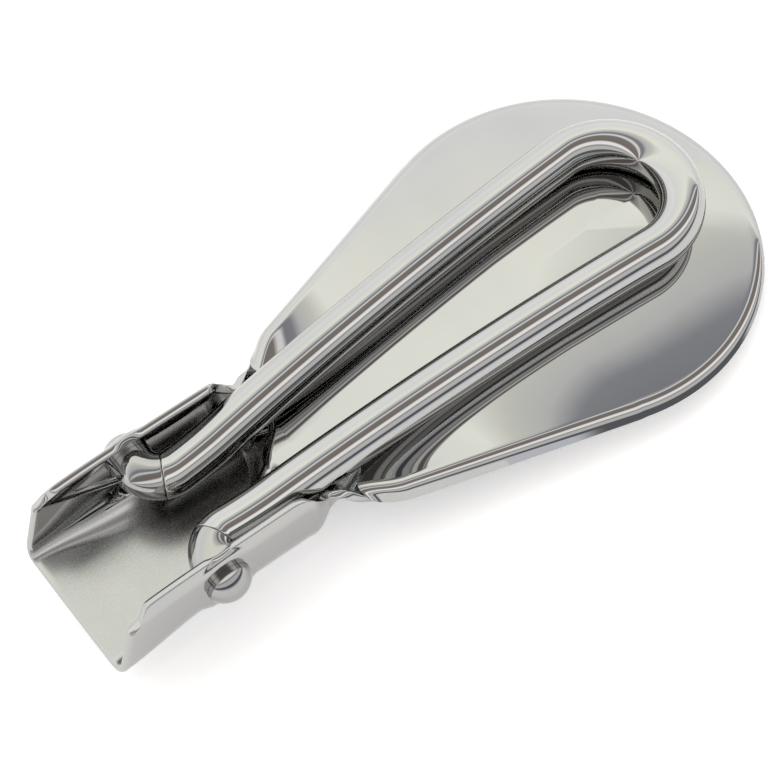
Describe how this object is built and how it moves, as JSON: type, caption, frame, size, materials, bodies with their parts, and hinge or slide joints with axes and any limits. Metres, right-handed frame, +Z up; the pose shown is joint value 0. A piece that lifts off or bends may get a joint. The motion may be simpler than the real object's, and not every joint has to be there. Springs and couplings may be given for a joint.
{
  "type": "line lead with swinging bail",
  "caption": "Polished pressed-metal fitting: an open channel tail stepping up to a domed spoon-shaped plate, with a round-rod bail that swings over it.",
  "frame": {"origin": "middle of the part's box, on the surface it rests on", "axes": "+X from the open channel end to the tip of the plate, +Y across to the far channel wall, +Z up; the part rests on the heel of the channel and on the plate's tip"},
  "size_m": [0.1386, 0.0688, 0.02],
  "materials": {
    "polished_sheet": "mirror polished pressed stainless sheet, satin inside the channel",
    "polished_rod": "mirror polished round stainless rod",
    "polished_pin": "polished elbow pin with a slightly worn rounded end"
  },
  "bodies": {
    "shell": {"body": "polished_sheet"},
    "bail": {"bail_loop": "polished_rod", "pin_near": "polished_pin", "pin_far": "polished_pin"}
  },
  "joints": [
    {"name": "bail_swing", "type": "hinge", "parent": "shell", "child": "bail", "pos_m": [-0.04687, 0, 0.01175], "axis": [0, -1, 0], "range_deg": [0, 180]}
  ]
}
